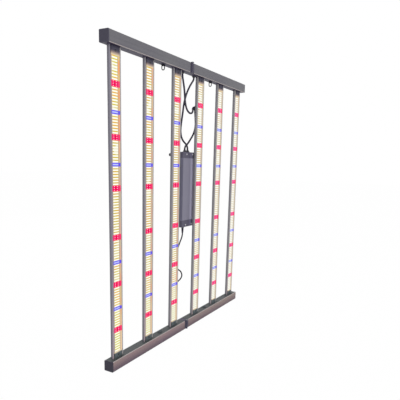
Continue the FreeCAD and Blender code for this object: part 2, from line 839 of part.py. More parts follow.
def cord_hank():
    middle = (hank_left + hank_right) / 2
    stations = [
        (hank_left, 1.0), (hank_left + hank_lobe, 1.0), (middle - tie_width / 2, 0.0),
        (middle + tie_width / 2, 0.0), (hank_right - hank_lobe, 1.0), (hank_right, 1.0),
    ]
    return Part.makeLoft([hank_outline(x, share) for x, share in stations], True, True)


def hank_tie():
    middle = (hank_left + hank_right) / 2
    outer_radius = hank_waist_radius + tie_wall
    start = (middle - tie_width / 2 + tie_edge_gap, hank_waist_y, outer_radius)
    length = tie_width - 2 * tie_edge_gap
    band = cylinder(outer_radius, start, (1, 0, 0), length)
    return band.cut(cylinder(hank_waist_radius + tie_fit, start, (1, 0, 0), length))


def mains_plug():
    end = Vector(*plug_lead_route[-1])
    sleeve_radius = power_cord_radius + plug_sleeve_wall
    sleeve = cone(sleeve_radius, sleeve_radius + plug_sleeve_flare, end, (-1, 0, 0), plug_sleeve)
    back = end.x - plug_sleeve
    body = box(back - plug_length, back, end.y - plug_width / 2, end.y + plug_width / 2,
               end.z - plug_height / 2, end.z + plug_height / 2)
    long_edges = [edge for edge in body.Edges if edge.BoundBox.XLength > plug_length - same_place]
    body = body.makeFillet(plug_round, long_edges)
    pins = []
    for side in (-1, 1):
        start = (back - plug_length, end.y + side * plug_pin_spacing / 2, end.z)
        pins.append(cylinder(plug_pin_radius, start, (-1, 0, 0), plug_pin_length))
    return [sleeve.fuse(body).removeSplitter()] + pins


# ---- hanging rings ----
def ring_outline(z_way):
    """A D-shaped ring about its own pivot, hanging along z_way, in the plane across X."""
    turn = ring_spine
    straight = ring_length - 2 * ring_wire - turn
    points = [(0, -turn, 0), (0, turn, 0), (0, turn, z_way * straight),
              (0, 0, z_way * (straight + turn)), (0, -turn, z_way * straight)]
    a, b, c, d, e = [Vector(*point) for point in points]
    pin = cylinder(ring_wire, a, (0, 1, 0), 2 * turn)
    legs = [cylinder(ring_wire, start, (0, 0, z_way), straight) for start in (a, b)]
    joints = [Part.makeSphere(ring_wire, start) for start in (a, b)]
    circle = Part.Face(Part.Wire(Part.makeCircle(ring_wire, c, Vector(0, 0, 1))))
    bend = circle.revolve(Vector(0, 0, z_way * straight), Vector(z_way, 0, 0), 180)
    return pin.fuse(legs + joints + [bend]).removeSplitter()


def ring_rest_angle():
    """How far below level a ring lies when its end comes down to the rail."""
    arm = ring_length - 2 * ring_wire
    return math.degrees(math.asin((ring_pivot_drop - ring_wire - ring_rest_gap) / arm))


def hanging_ring(sign, level):
    if level == "top":
        ring = ring_outline(-1)
        ring.translate(Vector(sign * ring_x, ring_y, top_rail_z - ring_pivot_drop))
        return ring
    ring = ring_outline(1)
    turn = 90 + ring_rest_angle()
    ring.rotate(Vector(0, 0, 0), Vector(0, 1, 0), sign * turn)
    ring.translate(Vector(sign * ring_x, ring_y, rail_side + ring_pivot_drop))
    return ring


def ring_clip(sign, level):
    """A bent strap over the ring's straight side, with a riveted foot on each side."""
    wire_room = ring_wire + ring_clip_gap
    outer = wire_room + ring_clip_wall
    half = ring_clip_width / 2
    arch = cylinder(outer, (0, -half, ring_pivot_drop), (0, 1, 0), ring_clip_width)
    cheeks = box(-outer, outer, -half, half, 0, ring_pivot_drop)
    feet = box(-ring_clip_foot, ring_clip_foot, -half, half, 0, ring_clip_wall)
    rivets = []
    for side in (-1, 1):
        x = side * (ring_clip_foot - ring_rivet_from_end)
        rivets.append(cylinder(ring_rivet_radius, (x, 0, ring_clip_wall), (0, 0, 1), ring_rivet_height))
    strap = arch.fuse([cheeks, feet])
    strap = strap.cut(cylinder(wire_room, (0, -half, ring_pivot_drop), (0, 1, 0), ring_clip_width))
    strap = strap.cut(box(-wire_room, wire_room, -half, half, 0, ring_pivot_drop))
    strap = strap.fuse(rivets).removeSplitter()
    if level == "top":
        strap.rotate(Vector(0, 0, 0), Vector(1, 0, 0), 180)
        strap.translate(Vector(sign * ring_x, ring_y, top_rail_z))
    else:
        strap.translate(Vector(sign * ring_x, ring_y, rail_side))
    return strap.Solids


# ---- the whole light ----
def build_frame():
    for half, sign in HALVES:
        for level, z0 in RAILS:
            add(f"{half}_{level}_rail", rail_tube(sign, level, z0))
            add(f"{half}_{level}_end_cap", end_cap(sign, z0))
            add(f"{half}_{level}_joint_leaf", joint_leaf(sign, level, z0))
            brackets = [end_bracket(centre, level) for centre in bar_centres(sign)]
            add(f"{half}_{level}_bar_brackets", *brackets)
            add(f"{half}_{level}_hanging_ring", hanging_ring(sign, level))
        screws = []
        clips = []
        for level, z0 in RAILS:
            screws += [bracket_screw(centre, level) for centre in bar_centres(sign)]
            clips += ring_clip(sign, level)
        add(f"{half}_bracket_screws", *screws)
        add(f"{half}_ring_clips", *clips)
    add("joint_pins", *[joint_pin(z0) for level, z0 in RAILS])


def build_bars():
    centres = sorted(bar_centres(-1) + bar_centres(1))
    for number, centre in enumerate(centres, start=1):
        driver_bar = abs(centre - strap_bar_screw_x) < bar_width / 2
        add(f"light_bar_{number}", bar_with_holes(centre, driver_bar))
        add(f"led_boards_{number}", *led_boards(centre))


def build_driver():
    add("driver_case", driver_case())
    add("driver_top_cover", top_cover())
    add("driver_bottom_cover", bottom_cover())
    add("driver_front_plate", front_plate())
    add("driver_cover_screws", *cover_screws())
    add("driver_circuit_block", circuit_block())
    add("driver_straps", *[driver_strap_plate(height) for height in strap_heights()])
    screws = []
    bar_depth = driver_front - board_back - screw_end_gap
    for height in strap_heights():
        screws.append(strap_screw(strap_driver_screw_x, height, fin_reach, 1,
                                  driver_strap + strap_screw_depth - screw_end_gap))
        screws.append(strap_screw(strap_bar_screw_x, height, driver_front, -1, bar_depth))
    add("strap_screws", *screws)
    add("dimmer_bushing", dimmer_bushing())
    add("dimmer_shaft", dimmer_shaft())
    add("dimmer_knob", dimmer_knob())
    glands = [cable_gland(place, driver_top, 1) for place in (left_gland, right_gland)]
    add("output_glands", *glands)
    add("power_gland", cable_gland(power_gland, driver_bottom, -1))
    add("power_strain_relief", strain_relief())


def build_cables():
    add("left_rail_grommet", grommet(left_exit))
    add("right_rail_grommet", grommet(right_exit))
    gland_top = driver_top + gland_length
    left_route = route(left_cable_route, grommet_tip - fold_cable_gap, gland_top)
    left = cord_tube(left_route, output_cable_radius, "left output cable")
    add("left_output_cable", left)
    right_route = route(right_cable_route, grommet_tip, gland_top)
    add("right_output_cable", cord_tube(right_route, output_cable_radius, "right output cable"))
    add("cable_hook", cable_hook())
    relief_end = driver_bottom - gland_length - relief_length
    run = cord_tube(route(power_cord_route, relief_end), power_cord_radius, "power cord")
    lead = cord_tube(plug_lead_route, power_cord_radius, "plug lead")
    add("power_cord", run, lead)
    add("cord_hank", cord_hank())
    add("hank_tie", hank_tie())
    add("mains_plug", *mains_plug())


build_frame()
build_bars()
build_driver()
build_cables()

os.makedirs("parts", exist_ok=True)
for name, shape in nodes.items():
    valid = shape.isValid()
    if not valid:
        print("not valid:", name)
    shape.exportStep(f"parts/{name}.step")
print(len(nodes), "nodes,", sum(len(shape.Solids) for shape in nodes.values()), "solids")
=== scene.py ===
# %% [markdown]
# # A foldable LED grow light
# Six light bars hang between two square rails that fold in the middle, and a driver behind them feeds both
# halves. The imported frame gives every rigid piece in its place. This script dresses it in four steps: the
# cables, the lamps on the boards, the finishes and the room. Sizes are in metres, and the lit side faces -Y.
# %% Load the frame
import bpy
import bmesh
import math
from mathutils import Matrix, Vector


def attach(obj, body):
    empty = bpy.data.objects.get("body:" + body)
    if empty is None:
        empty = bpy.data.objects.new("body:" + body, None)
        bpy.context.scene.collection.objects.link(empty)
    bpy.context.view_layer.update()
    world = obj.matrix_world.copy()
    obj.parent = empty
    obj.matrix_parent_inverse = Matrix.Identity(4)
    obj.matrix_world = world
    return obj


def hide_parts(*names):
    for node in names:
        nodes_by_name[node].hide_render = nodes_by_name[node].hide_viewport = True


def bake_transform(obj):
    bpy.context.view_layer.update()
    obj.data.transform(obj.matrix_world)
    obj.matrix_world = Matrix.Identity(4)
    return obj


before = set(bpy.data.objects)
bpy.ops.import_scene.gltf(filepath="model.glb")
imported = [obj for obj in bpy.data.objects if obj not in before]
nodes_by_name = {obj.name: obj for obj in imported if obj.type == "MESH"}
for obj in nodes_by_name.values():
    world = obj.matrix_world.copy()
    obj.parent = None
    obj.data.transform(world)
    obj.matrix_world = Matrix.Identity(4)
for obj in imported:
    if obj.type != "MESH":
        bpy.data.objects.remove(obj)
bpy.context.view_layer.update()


# %% [markdown]
# ## Camera
# The light is seen from its left, a little above its middle, with the lit side turned away to the right.
# A camera can be aimed by a constraint that points it at an empty. A matrix is used here instead, because
# it also holds the slight roll. The shift moves the view up without tilting the upright bars any further.
# %% Camera
def look_matrix(place, yaw, pitch, roll):
    """A camera matrix from a heading (from +Y towards +X), a dip below the horizon and a roll."""
    ahead = Vector((math.sin(yaw) * math.cos(pitch), math.cos(yaw) * math.cos(pitch), -math.sin(pitch)))
    right = Vector((math.cos(yaw), -math.sin(yaw), 0.0))
    down = ahead.cross(right)
    right, down = (math.cos(roll) * right + math.sin(roll) * down,
                   math.cos(roll) * down - math.sin(roll) * right)
    turn = Matrix((right, -down, -ahead)).transposed()
    return Matrix.Translation(place) @ turn.to_4x4()


def in_scene(name, data):
    """A new object of the scene with this data."""
    made = bpy.data.objects.new(name, data)
    bpy.context.scene.collection.objects.link(made)
    return made


camera_data = bpy.data.cameras.new("camera")
camera_data.lens = 39.414
camera_data.sensor_width = 36.0
camera_data.shift_y = 0.1287
camera_data.clip_start = 0.05
camera_data.clip_end = 60.0
camera = in_scene("camera", camera_data)
camera.matrix_world = look_matrix((-1.69277, -1.00342, 0.765), math.radians(61.231),
                                  math.radians(11.476), math.radians(-1.614))
bpy.context.scene.camera = camera
print("camera at", [round(value, 3) for value in camera.location])


# %% [markdown]
# ## Cables
# Two cables run from the driver to the rails, and a power cord runs down to the floor. All are round and
# black. A curve with a bevel would look the same, but here a NURBS spline gives only the line, and a mesh
# tube is laid along it. The spline's points are chosen, and it bends between them as softly as rubber does.
# %% A smooth line
def mesh_of(shape):
    """What a curve or a modifier makes of an object, as a plain mesh."""
    graph = bpy.context.evaluated_depsgraph_get()
    graph.update()
    return bpy.data.meshes.new_from_object(shape.evaluated_get(graph))


def spline_line(name, points):
    """The points along one open NURBS spline of order 3, read from its curve."""
    curve = bpy.data.curves.new(name, "CURVE")
    curve.dimensions = "3D"
    curve.resolution_u = 10
    spline = curve.splines.new("NURBS")
    spline.points.add(len(points) - 1)
    for point, place in zip(spline.points, points):
        point.co = (*place, 1.0)
    spline.order_u = 3
    spline.use_endpoint_u = True
    guide = in_scene(name, curve)
    line = [vertex.co.copy() for vertex in mesh_of(guide).vertices]
    bpy.data.objects.remove(guide)
    return line


def length_of(points):
    """How long a line is from point to point."""
    return sum((b - a).length for a, b in zip(points, points[1:]))


def millimetres(points):
    """Points that were given in millimetres, in metres."""
    return [tuple(value / 1000 for value in point) for point in points]


# %% [markdown]
# The tube carries a round section along the line, ring by ring. Each ring takes its sideways direction from
# the ring before it. Setting it up afresh at each point would be shorter, but would twist the tube.
# %% A tube along a line
def tube_mesh(name, points, radius, sides):
    """A closed round tube along a line, with its section carried along without twist."""
    mesh = bpy.data.meshes.new(name)
    work = bmesh.new()
    side = (points[1] - points[0]).orthogonal().normalized()
    rings = []
    for index, point in enumerate(points):
        before = points[max(index - 1, 0)]
        after = points[min(index + 1, len(points) - 1)]
        along = (after - before).normalized()
        side = (side - along * side.dot(along)).normalized()
        other = along.cross(side)
        ring = []
        for step in range(sides):
            angle = 2 * math.pi * step / sides
            outwards = math.cos(angle) * side + math.sin(angle) * other
            ring.append(work.verts.new(point + radius * outwards))
        rings.append(ring)
    for first, second in zip(rings, rings[1:]):
        for step in range(sides):
            after = (step + 1) % sides
            work.faces.new((first[step], first[after], second[after], second[step]))
    work.faces.new(list(reversed(rings[0])))
    work.faces.new(rings[-1])
    for face in work.faces:
        face.smooth = len(face.verts) == 4
    work.to_mesh(mesh)
    work.free()
    return in_scene(name, mesh)


# %% [markdown]
# A drawn cord takes the place of imported pieces and hides them, and its length is printed.
# %% A cord in place of pieces
cable_sides = 14


def cable_piece(name, points, radius, replaced, **declared):
    """A tube over the spline of these points, which takes the place of CAD nodes and hides them."""
    line = spline_line(name + "_guide", points)
    made = tube_mesh(name, line, radius, cable_sides)
    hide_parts(*replaced)
    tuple(points[0])
    length_of(line)
    print(name, round(length_of(line), 3), "m")
    return made


# %% [markdown]
# Each half's cable leaves its rail through a rubber grommet and ends in a gland on the driver. The left one
# has to cross the fold, so it hangs with slack in a hook on the driver's bar.
# %% Output cables
output_cable_radius = 0.004
right_points = millimetres([
    (56, 12, 1126), (56, 12, 1117.5), (46, 15, 1105), (33, 20, 1085), (17, 26, 1051), (6, 29.5, 1014),
    (2, 32, 973), (-5, 34, 933), (-7.5, 36.5, 897), (16, 45, 871), (45, 52, 855.5), (66, 42, 838.5),
    (66, 42, 819)])
right_cable = cable_piece("right_cable", right_points, output_cable_radius, ["right_output_cable"],
                          far_end="object", lay="hanging")
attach(right_cable, "right_half")
left_points = millimetres([
    (-40, 11, 1125.7), (-40, 11, 1115), (-29, 13, 1097), (-9, 18, 1062), (1, 21.5, 1024), (14, 20.5, 990),
    (38, 18.5, 975), (60, 19, 979), (70, 20.5, 990), (71, 21, 1005.5), (87, 21, 1005.5), (90, 21.5, 987),
    (97.5, 23, 960), (105, 25.5, 926), (97, 29, 894), (77, 33, 868), (57, 36.5, 846), (41, 42, 833),
    (41, 42, 819)])
left_cable = cable_piece("left_cable", left_points, output_cable_radius, ["left_output_cable"],
                         far_end="object", lay="hanging")
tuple(left_points[0])
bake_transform(left_cable)

# %% [markdown]
# The power cord leaves the driver's bottom through a strain relief and curls down behind a bar. It lies
# folded in a tied hank behind the bottom rail, as a new cord is packed, and ends in the plug. Lying loose
# it would spread over the floor. These are its open stretches, before and after the hank.
# %% Open stretches of the power cord
power_cord_radius = 0.003
hanging_points = [
    (39, 44, 440), (39, 44, 426), (18, 43.5, 401), (-5, 43, 369), (-25, 42, 337), (-32, 39, 308),
    (-23, 32, 282), (-4, 22, 268), (2, 18, 246), (-9, 24, 227), (-27, 34, 217), (-43, 41, 201),
    (-50, 38, 170), (-54, 35, 133), (-49, 33, 94), (-47, 30, 54.5), (-57, 28, 37), (-74.5, 25.5, 27),
    (-94, 25.5, 27)]
lead_points = [(-258, 24, 3.5), (-276, 24, 3.5), (-300, 26.5, 3.5), (-325, 31.5, 4.5), (-349, 33, 9),
               (-367, 33, 10.5), (-384, 33, 10.5)]
print(len(hanging_points), "points down to the hank and", len(lead_points), "on to the plug")

# %% [markdown]
# The hank is five straight runs and four folds. They repeat, so a loop works out their points instead of a
# long list. A fold is four corners of an octagon, round which the spline makes an even half circle. All
# values are in millimetres, and the loose ends hold (y, z) of each run where its folds begin.
# %% Folds of the hank
hank_centre = -176.0
loose_ends = [(23.4, 28.0), (59.5, 3.0), (23.4, 18.0), (65.5, 3.0), (23.4, 3.2)]
fold_reach = [72.0, 72.0, 79.0, 79.0]
corner_share = math.tan(math.radians(22.5))


def fold_base(index):
    """How far from the hank's centre a fold begins, and its radius."""
    radius = math.dist(loose_ends[index], loose_ends[index + 1]) / 2
    return fold_reach[index] - radius, radius


def fold_stations(index):
    """The four corners of a fold as distances along the hank with their (y, z)."""
    base, radius = fold_base(index)
    inner = (1 - corner_share) / 2
    corners = ((base + corner_share * radius, 0), (fold_reach[index], inner),
               (fold_reach[index], 1 - inner), (base + corner_share * radius, 1))
    loose, following = loose_ends[index], loose_ends[index + 1]
    return [(along, tuple(a + (b - a) * share for a, b in zip(loose, following)))
            for along, share in corners]


print("fold radii:", [round(fold_base(index)[1], 1) for index in range(len(fold_reach))], "mm")


# %% [markdown]
# Each run is pinched together under the tie and fans out again towards the fold at its end. So a run needs
# its place half way out and its angle round the middle of the tie as well. Runs that kept their distance
# would be simpler, but no tie could hold them.
# %% Runs of the hank
hank_mouth = 51.0
pinch_start = 28.0
tie_reach = 9.0
tie_centre = (37.0, 9.4)
bundle_radius = 5.11
half_way = [(30.2, 21.3), (49.0, 4.0), (27.8, 14.5), (54.5, 9.5), (28.7, 4.1)]
bundle_angles = [90, 306, 162, 18, 234]


def run_end(index):
    """Where a straight run stops, one corner's reach before its fold begins."""
    base, radius = fold_base(index)
    return base - corner_share * radius


def run_stations(index):
    """The points of one run as distances along the hank with their (y, z)."""
    angle = math.radians(bundle_angles[index])
    tied = (tie_centre[0] + bundle_radius * math.cos(angle),
            tie_centre[1] + bundle_radius * math.sin(angle))
    start = run_end(index - 1) if index else hank_mouth
    end = run_end(index) if index < len(fold_reach) else hank_mouth
    loose, half = loose_ends[index], half_way[index]
    return [(-start, loose), (-pinch_start, half), (-tie_reach, tied),
            (tie_reach, tied), (pinch_start, half), (end, loose)]


def hank_points():
    """All runs and folds in the order in which the cord passes through them."""
    made = []
    for index in range(len(loose_ends)):
        way = -1 if index % 2 == 0 else 1
        stations = run_stations(index)
        if index < len(fold_reach):
            stations += fold_stations(index)
        made += [(hank_centre + way * along, *place) for along, place in stations]
    return made


power_points = millimetres(hanging_points + hank_points() + lead_points)
power_cord = cable_piece("power_cord_line", power_points, power_cord_radius, ["power_cord", "cord_hank"],
                         far_end="plug", lay="coiled", with_pieces=["mains_plug", "hank_tie"])
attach(power_cord, "right_half")


# %% [markdown]
# ## Lamps on the boards
# Each board carries rows of three small lamps. A lamp is a white package with a slightly raised window. Dots
# painted on the board would be cheaper, but they would lie flat when seen from the side, and these lamps
# are mostly seen from the side. At 3.5 mm across, two boxes are enough.
# %% One lamp
def mesh_object(name, work):
    """Turns a finished bmesh into an object with its normals outwards."""
    mesh = bpy.data.meshes.new(name)
    bmesh.ops.recalc_face_normals(work, faces=work.faces)
    work.to_mesh(mesh)
    work.free()
    return in_scene(name, mesh)


def block(work, width, depth, height, front):
    """A box that reaches forward (towards -Y) from the front value by its depth."""
    made = bmesh.ops.create_cube(work, size=1.0)["verts"]
    bmesh.ops.scale(work, vec=(width, depth, height), verts=made)
    bmesh.ops.translate(work, vec=(0, front - depth / 2, 0), verts=made)


def lamp_template():
    """A white package with a smaller raised window, in front of the plane of its board."""
    work = bmesh.new()
    block(work, 0.0035, 0.0005, 0.0028, 0.0)
    block(work, 0.0019, 0.0003, 0.0016, -0.0005)
    return mesh_object("lamp_template", work)


lamp = lamp_template()
print("lamp:", len(lamp.data.polygons), "faces")


# %% [markdown]
# The boards are held by screws with a round black head and a hollow socket. A cylinder would have neither
# the socket nor the rounded edge that catches the light, so the head is a profile turned about its axis.
# %% One board screw
def turned(name, profile, steps):
    """A round piece about the Y axis from (radius, y) points, closed at both ends."""
    work = bmesh.new()
    rings = []
    for radius, y in profile:
        if radius == 0:
            rings.append([work.verts.new((0, y, 0))])
            continue
        ring = []
        for step in range(steps):
            angle = 2 * math.pi * step / steps
            ring.append(work.verts.new((radius * math.cos(angle), y, radius * math.sin(angle))))
        rings.append(ring)
    for first, second in zip(rings, rings[1:]):
        for step in range(steps):
            after = (step + 1) % steps
            loop = [first[step % len(first)], first[after % len(first)],
                    second[after % len(second)], second[step % len(second)]]
            work.faces.new(list(dict.fromkeys(loop)))
    return mesh_object(name, work)


screw = turned("board_screw_template", [
    (0, 0.0), (0.0024, 0.0), (0.0024, -0.0005), (0.0021, -0.0011), (0.0014, -0.0014),
    (0.0011, -0.0014), (0.0010, -0.0006), (0, -0.0006)], 12)
print("board screw:", len(screw.data.polygons), "faces")


# %% [markdown]
# There are 114 rows on a bar, in groups of 19 round a screw. The rows next to a screw stand closer and are
# red, and most groups start with a blue row. As the rule is the same on every bar, one geometry node tree
# can place all the lamps from a count, which keeps them easy to change: a new pitch is one number.
# %% Sizes of the rows
bar_pitch = 0.195
row_pitch = 0.00965
close_pitch = 0.00719
group_pitch = 0.17347
top_screw = 1.015075
row_sizes = [
    ("Side", 1.0), ("Bars", 3.0), ("Bar Pitch", bar_pitch), ("Rows", 114.0), ("Rows Per Group", 19.0),
    ("Column Pitch", 0.0079), ("Row Pitch", row_pitch), ("Close Pitch", close_pitch),
    ("Group Pitch", group_pitch), ("Top Screw", top_screw), ("Board Front", 0.0005), ("Kind", 0.0)]
print("one group is", round(4 * close_pitch + 14 * row_pitch, 4), "m from its first row to its last")


# %% [markdown]
# The tree numbers its points and turns each number into a column, a row and a bar. How far a row is from its
# screw gives its height and its kind: 0 is warm white, 1 is red, 2 is blue and 3 is a screw.
# %% Rule for one point
class Sums:
    """Short hand for the nodes of one tree."""

    def __init__(self, tree):
        self.tree = tree

    def put(self, value, socket):
        """Gives a socket a number or a colour, or links it to another node."""
        if isinstance(value, tuple):
            socket.default_value = (*value, 1.0)
        elif isinstance(value, (int, float)):
            socket.default_value = value
        else:
            self.tree.links.new(value, socket)

    def do(self, operation, a, b=0.0, c=0.0):
        """One math node, by the name of its operation."""
        node = self.tree.nodes.new("ShaderNodeMath")
        node.operation = operation
        for value, socket in zip((a, b, c), node.inputs):
            self.put(value, socket)
        return node.outputs[0]

    def product(self, first, *others):
        """Several values multiplied together."""
        for other in others:
            first = self.do("MULTIPLY", first, other)
        return first


def lamp_rule(sums, given, number):
    """Where the point with this number lies, across and up, and its kind."""
    do, product = sums.do, sums.product
    column = do("MODULO", number, 3.0)
    row_number = do("FLOOR", do("DIVIDE", number, 3.0))
    row = do("MODULO", row_number, given["Rows"])
    bar = do("FLOOR", do("DIVIDE", row_number, given["Rows"]))
    group = do("FLOOR", do("DIVIDE", row, given["Rows Per Group"]))
    middle = do("FLOOR", do("DIVIDE", given["Rows Per Group"], 2.0))
    row_in_group = do("SUBTRACT", row, product(group, given["Rows Per Group"]))
    below = do("SUBTRACT", row_in_group, middle)
    away = do("ABSOLUTE", below)
    near_part = product(do("MINIMUM", away, 2.0), given["Close Pitch"])
    far_part = product(do("MAXIMUM", do("SUBTRACT", away, 2.0), 0.0), given["Row Pitch"])
    drop = product(do("ADD", near_part, far_part), do("SIGN", below))
    screw_height = do("SUBTRACT", given["Top Screw"], product(group, given["Group Pitch"]))
    centre = product(do("ADD", bar, 0.5), given["Bar Pitch"], given["Side"])
    across = do("ADD", centre, product(do("SUBTRACT", column, 1.0), given["Column Pitch"]))
    is_screw = product(do("LESS_THAN", away, 0.5), do("COMPARE", column, 1.0, 0.1))
    is_red = do("SUBTRACT", do("LESS_THAN", away, 1.5), is_screw)
    first_of_board = do("COMPARE", do("MODULO", group, 3.0), 0.0, 0.1)
    top_row = do("COMPARE", below, product(middle, -1.0), 0.1)
    is_blue = product(top_row, do("SUBTRACT", 1.0, first_of_board))
    kind = do("ADD", do("ADD", is_red, product(is_blue, 2.0)), product(is_screw, 3.0))
    return across, do("SUBTRACT", screw_height, drop), kind


# %% [markdown]
# Points in space can't be seen. So the tree puts a copy of the template on every point of the wanted kind,
# makes the copies real and gives them their finish.
# %% Placing tree
def placing_tree():
    """Makes a point for every lamp and screw of one half, and keeps those of one kind."""
    tree = bpy.data.node_groups.new("rows_of_lamps", "GeometryNodeTree")
    face = tree.interface
    face.new_socket("Geometry", in_out="OUTPUT", socket_type="NodeSocketGeometry")
    for name, value in row_sizes:
        face.new_socket(name, in_out="INPUT", socket_type="NodeSocketFloat").default_value = value
    face.new_socket("Template", in_out="INPUT", socket_type="NodeSocketObject")
    face.new_socket("Finish", in_out="INPUT", socket_type="NodeSocketMaterial")
    given = tree.nodes.new("NodeGroupInput").outputs
    sums = Sums(tree)
    put = sums.put
    number = tree.nodes.new("GeometryNodeInputIndex").outputs[0]
    across, height, kind = lamp_rule(sums, given, number)
    place = tree.nodes.new("ShaderNodeCombineXYZ")
    for value, socket in zip((across, given["Board Front"], height), place.inputs):
        put(value, socket)
    points = tree.nodes.new("GeometryNodePoints")
    put(sums.product(given["Rows"], given["Bars"], 3.0), points.inputs["Count"])
    put(place.outputs[0], points.inputs["Position"])
    template = tree.nodes.new("GeometryNodeObjectInfo")
    put(given["Template"], template.inputs["Object"])
    copies = tree.nodes.new("GeometryNodeInstanceOnPoints")
    put(points.outputs[0], copies.inputs["Points"])
    put(template.outputs["Geometry"], copies.inputs["Instance"])
    put(sums.do("COMPARE", kind, given["Kind"], 0.1), copies.inputs["Selection"])
    real = tree.nodes.new("GeometryNodeRealizeInstances")
    put(copies.outputs[0], real.inputs[0])
    finish = tree.nodes.new("GeometryNodeSetMaterial")
    put(real.outputs[0], finish.inputs["Geometry"])
    put(given["Finish"], finish.inputs["Material"])
    put(finish.outputs[0], tree.nodes.new("NodeGroupOutput").inputs[0])
    return tree


lamps_tree = placing_tree()
print("placing tree:", len(lamps_tree.nodes), "nodes")


# %% [markdown]
# The tree's result is kept as a plain mesh, because only a plain mesh can ride on a half of the light. A
# modifier left in place would be easier to change later, but would be worked out again at every pose.
# %% Keep a result as a mesh
def placed(tree, name, values):
    """Runs the tree once and keeps its result as a plain mesh."""
    holder = in_scene(name, bpy.data.meshes.new(name))
    modifier = holder.modifiers.new("place", "NODES")
    modifier.node_group = tree
    for item in tree.interface.items_tree:
        if item.item_type == "SOCKET" and item.in_out == "INPUT" and item.name in values:
            modifier[item.identifier] = values[item.name]
    mesh = mesh_of(holder)
    holder.modifiers.remove(modifier)
    holder.data = mesh
    return holder


# %% [markdown]
# ## Finishes
# Every finish is worked out from the place on the object, in metres. An image would have to be wrapped round
# each piece first, and would blur close by. This helper builds the nodes that all finishes share.
# %% Finish helper
class Finish(Sums):
    """One material with its Principled shader, and short hand for the nodes before it."""

    def __init__(self, name, metallic=0.0, specular=0.5):
        self.material = bpy.data.materials.new(name)
        self.material.use_nodes = True
        super().__init__(self.material.node_tree)
        self.shader = self.tree.nodes["Principled BSDF"]
        self.put(metallic, self.shader.inputs["Metallic"])
        self.put(specular, self.shader.inputs["Specular IOR Level"])
        coordinates = self.tree.nodes.new("ShaderNodeTexCoord").outputs
        self.place = coordinates["Object"]
        self.facing = coordinates["Normal"]

    def axes(self, vector=None):
        """The x, y and z of a vector, or of the place."""
        split = self.tree.nodes.new("ShaderNodeSeparateXYZ")
        self.put(vector or self.place, split.inputs[0])
        return split.outputs

    def noise(self, scale, stretch=(1, 1, 1), detail=3.0):
        """Soft patches in space. A small stretch makes them long along its axis."""
        mapping = self.tree.nodes.new("ShaderNodeMapping")
        mapping.inputs["Scale"].default_value = stretch
        self.put(self.place, mapping.inputs["Vector"])
        noise = self.tree.nodes.new("ShaderNodeTexNoise")
        for name, value in (("Scale", scale), ("Detail", detail), ("Vector", mapping.outputs[0])):
            self.put(value, noise.inputs[name])
        return noise.outputs["Fac"]

    def spread(self, value, low, high, out_low=0.0, out_high=1.0):
        """Turns a range of values into another, with nothing beyond its ends."""
        node = self.tree.nodes.new("ShaderNodeMapRange")
        for name, number in (("Value", value), ("From Min", low), ("From Max", high),
                             ("To Min", out_low), ("To Max", out_high)):
            self.put(number, node.inputs[name])
        return node.outputs[0]

    def mix(self, share, a, b):
        """Colour a where the share is 0, and colour b where it is 1."""
        node = self.tree.nodes.new("ShaderNodeMix")
        node.data_type = "RGBA"
        for socket, value in ((0, share), (6, a), (7, b)):
            self.put(value, node.inputs[socket])
        return node.outputs[2]

    def colour(self, value):
        """The colour in the light of others."""
        self.put(value, self.shader.inputs["Base Color"])

    def rough(self, value):
        """From 0 for a mirror to 1 for chalk."""
        self.put(value, self.shader.inputs["Roughness"])

    def glow(self, value, strength):
        """Light of its own, which is seen but isn't sampled as a lamp."""
        self.put(value, self.shader.inputs["Emission Color"])
        self.put(strength, self.shader.inputs["Emission Strength"])
        self.material.cycles.emission_sampling = "NONE"

    def bump(self, height, strength, distance):
        """Tilts the surface as if it rose by this distance, in metres."""
        node = self.tree.nodes.new("ShaderNodeBump")
        for name, value in (("Strength", strength), ("Distance", distance), ("Height", height)):
            self.put(value, node.inputs[name])
        self.put(node.outputs[0], self.shader.inputs["Normal"])

    def grained(self, grains, rough, bump, depth):
        """Ties the gloss and the surface to one grain, as wear and moulding do."""
        self.rough(self.spread(grains, 0.3, 0.7, *rough))
        self.bump(grains, bump, depth)
        return self.material


# %% [markdown]
# The rails are square tube in a satin grey, with faint draw lines along X. The top one mirrors a cool room,
# the low one a warm floor, and a thin line of painted light from the boards marks the edge next to the bars.
# Painted shade darkens the top rail's underside and the low rail's top face and foot. All this is painted in
# by height and facing, because real mirroring would need a whole room round the object.
# %% Rails
frame_middle = 0.586
bar_light_band = (0.5474, 0.5482)
bar_light_front = (-0.0178, -0.0172)


